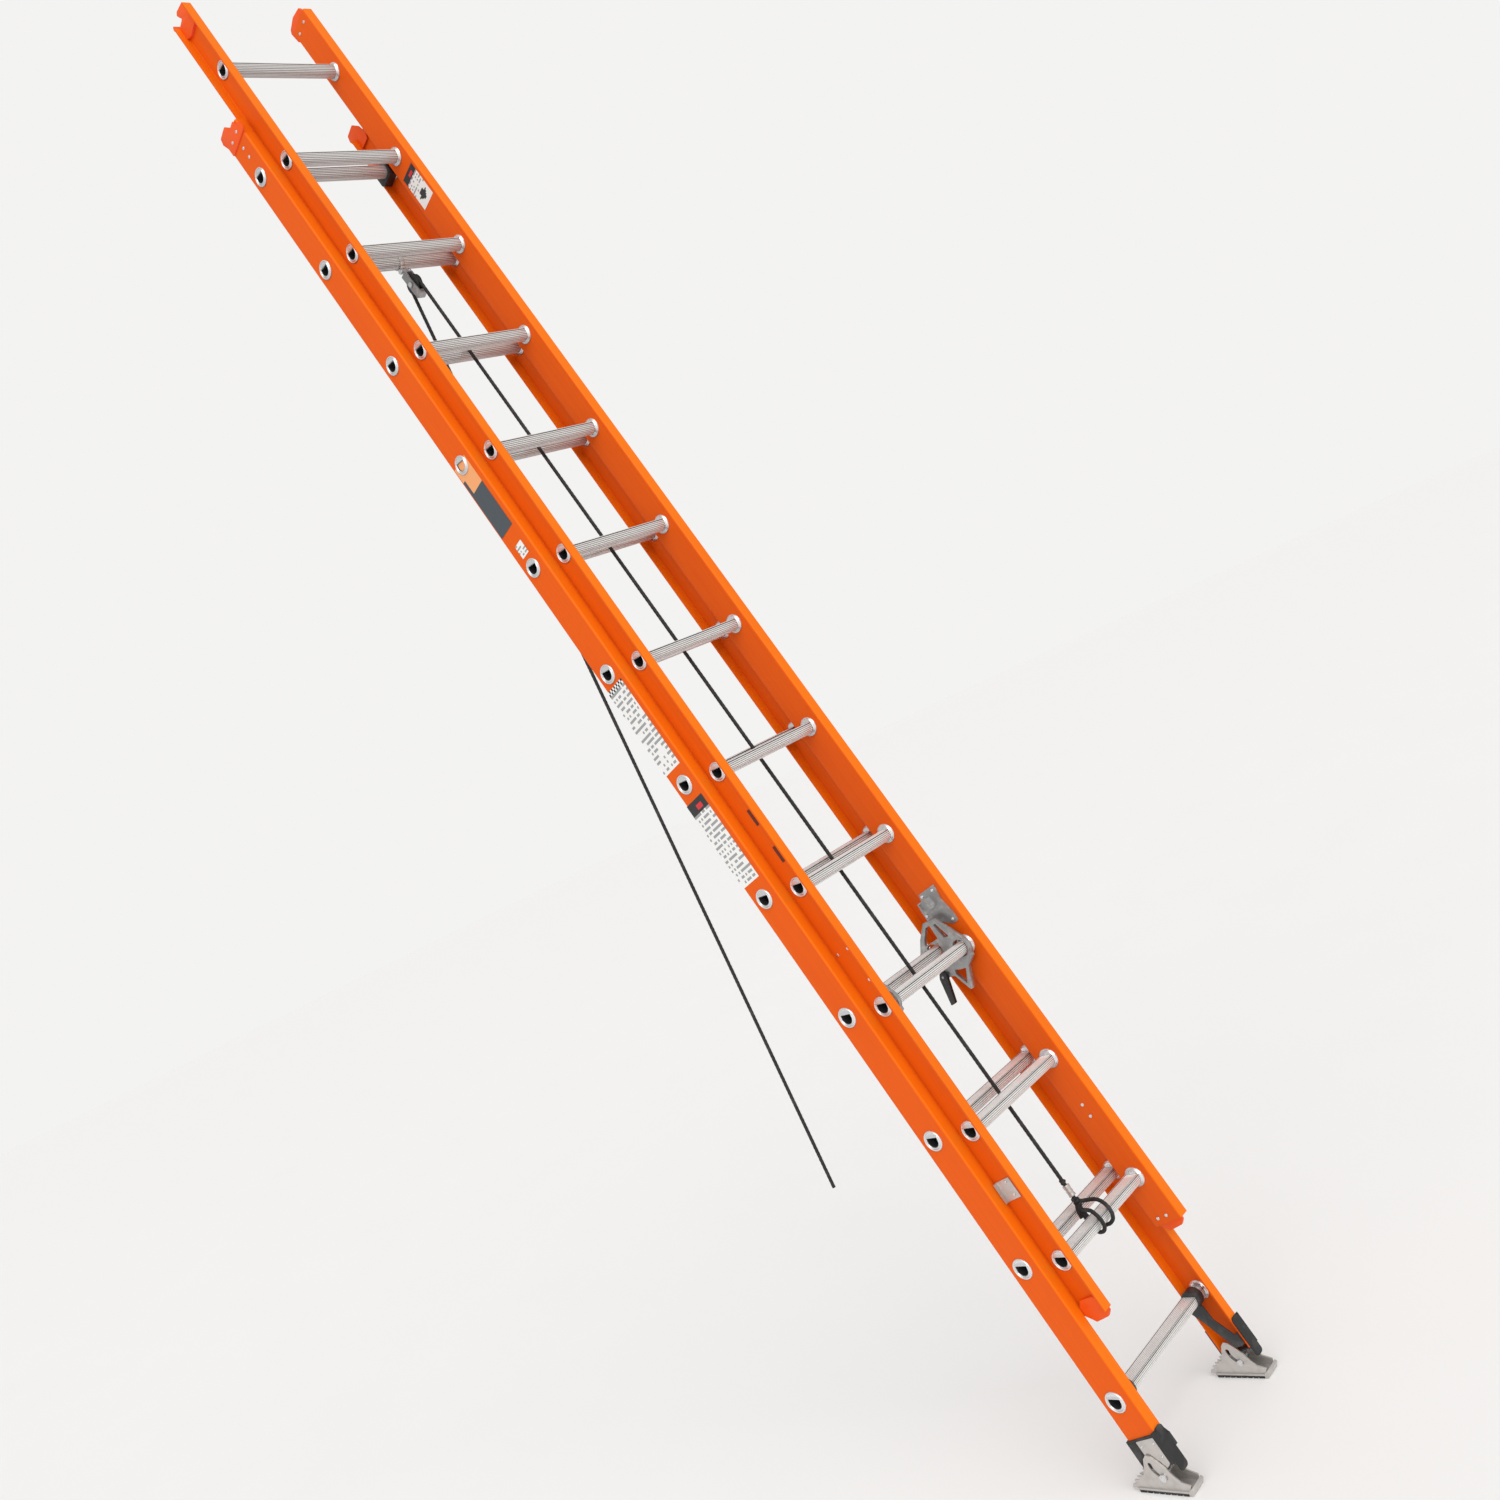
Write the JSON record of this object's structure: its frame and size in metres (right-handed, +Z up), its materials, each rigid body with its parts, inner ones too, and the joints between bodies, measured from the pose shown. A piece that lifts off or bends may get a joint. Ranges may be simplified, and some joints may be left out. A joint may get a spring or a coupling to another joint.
{
  "type": "extension ladder",
  "caption": "Two-section extension ladder with orange channel rails, D rungs, hook locks on the fly, a rope and pulley, and swivelling feet.",
  "frame": {"origin": "centre of the ladder's box on the floor under the soles", "axes": "+X along the rungs to the climber's right, +Y towards the wall, +Z up; the rails lean back 14.5 degrees"},
  "size_m": [0.4184, 1.0432, 3.9342],
  "materials": {
    "rail_fibreglass": "pultruded glass-fibre, satin",
    "rung_aluminium": "extruded, satin",
    "ferrule_aluminium": "swaged, bright",
    "cap_plastic": "moulded",
    "cast_aluminium": "cast, matte",
    "plated_steel": "zinc plated",
    "rivet_steel": "plated",
    "black_plastic": "moulded",
    "black_rubber": "moulded",
    "black_strap": "powder coated",
    "rope": "braided polypropylene"
  },
  "bodies": {
    "base": {"base_rail_left": "rail_fibreglass", "base_rail_right": "rail_fibreglass", "base_rung_01": "rung_aluminium", "base_rung_02": "rung_aluminium", "base_rung_03": "rung_aluminium", "base_rung_04": "rung_aluminium", "base_rung_05": "rung_aluminium", "base_rung_06": "rung_aluminium", "base_rung_07": "rung_aluminium", "base_rung_08": "rung_aluminium", "base_rung_09": "rung_aluminium", "base_rung_10": "rung_aluminium", "base_rung_11": "rung_aluminium", "base_rung_12": "rung_aluminium", "base_rung_ferrules": "ferrule_aluminium", "base_top_cap_left": "cap_plastic", "base_top_cap_right": "cap_plastic", "foot_brackets": "plated_steel", "rail_boots": "black_rubber", "rung_braces": "black_strap", "rung_guard": "black_plastic", "pulley_strap": "plated_steel", "pulley_block": "cast_aluminium", "base_bolts": "rivet_steel", "base_rivets": "rivet_steel", "hoist_rope": "rope", "rope_tail": "rope"},
    "fly": {"fly_rail_left": "rail_fibreglass", "fly_rail_right": "rail_fibreglass", "fly_rung_01": "rung_aluminium", "fly_rung_02": "rung_aluminium", "fly_rung_03": "rung_aluminium", "fly_rung_04": "rung_aluminium", "fly_rung_05": "rung_aluminium", "fly_rung_06": "rung_aluminium", "fly_rung_07": "rung_aluminium", "fly_rung_08": "rung_aluminium", "fly_rung_09": "rung_aluminium", "fly_rung_10": "rung_aluminium", "fly_rung_11": "rung_aluminium", "fly_rung_12": "rung_aluminium", "fly_rung_ferrules": "ferrule_aluminium", "fly_top_cap_left": "cap_plastic", "fly_top_cap_right": "cap_plastic", "fly_end_cap_left": "cap_plastic", "fly_end_cap_right": "cap_plastic", "fly_stop_brackets": "plated_steel", "lock_brackets": "cast_aluminium", "fly_rivets": "rivet_steel", "rope_knot": "rope", "rope_sleeve": "plated_steel"},
    "rung_lock_left": {"rung_lock_left": "cast_aluminium"},
    "lock_flipper_left": {"lock_flipper_left": "black_plastic"},
    "foot_left": {"foot_shoe_left": "plated_steel", "foot_pad_left": "black_rubber"},
    "rung_lock_right": {"rung_lock_right": "cast_aluminium"},
    "lock_flipper_right": {"lock_flipper_right": "black_plastic"},
    "foot_right": {"foot_shoe_right": "plated_steel", "foot_pad_right": "black_rubber"},
    "pulley_sheave": {"pulley_sheave": "black_plastic"}
  },
  "joints": [
    {"name": "fly_slide", "type": "slide", "parent": "base", "child": "fly", "axis": [0, 0.2504, 0.9681], "range_m": [0, 2.4384], "deforming": ["hoist_rope"]},
    {"name": "rung_lock_left_swing", "type": "hinge", "parent": "fly", "child": "rung_lock_left", "pos_m": [-0.1385, -0.27221, 1.0737], "axis": [1, 0, 0], "range_deg": [0, 14]},
    {"name": "lock_flipper_left_swing", "type": "hinge", "parent": "rung_lock_left", "child": "lock_flipper_left", "pos_m": [-0.1294, -0.19416, 1.02005], "axis": [1, 0, 0], "range_deg": [0, 75]},
    {"name": "foot_left_swivel", "type": "hinge", "parent": "base", "child": "foot_left", "pos_m": [-0.1845, -0.46842, 0.06209], "axis": [1, 0, 0], "range_deg": [-75.5, 0]},
    {"name": "rung_lock_right_swing", "type": "hinge", "parent": "fly", "child": "rung_lock_right", "pos_m": [0.1385, -0.27221, 1.0737], "axis": [1, 0, 0], "range_deg": [0, 14]},
    {"name": "lock_flipper_right_swing", "type": "hinge", "parent": "rung_lock_right", "child": "lock_flipper_right", "pos_m": [0.1294, -0.19416, 1.02005], "axis": [1, 0, 0], "range_deg": [0, 75]},
    {"name": "foot_right_swivel", "type": "hinge", "parent": "base", "child": "foot_right", "pos_m": [0.1845, -0.46842, 0.06209], "axis": [1, 0, 0], "range_deg": [-75.5, 0]},
    {"name": "sheave_spin", "type": "hinge", "parent": "base", "child": "pulley_sheave", "pos_m": [0.015, 0.31573, 3.07143], "axis": [1, 0, 0], "continuous": true}
  ]
}
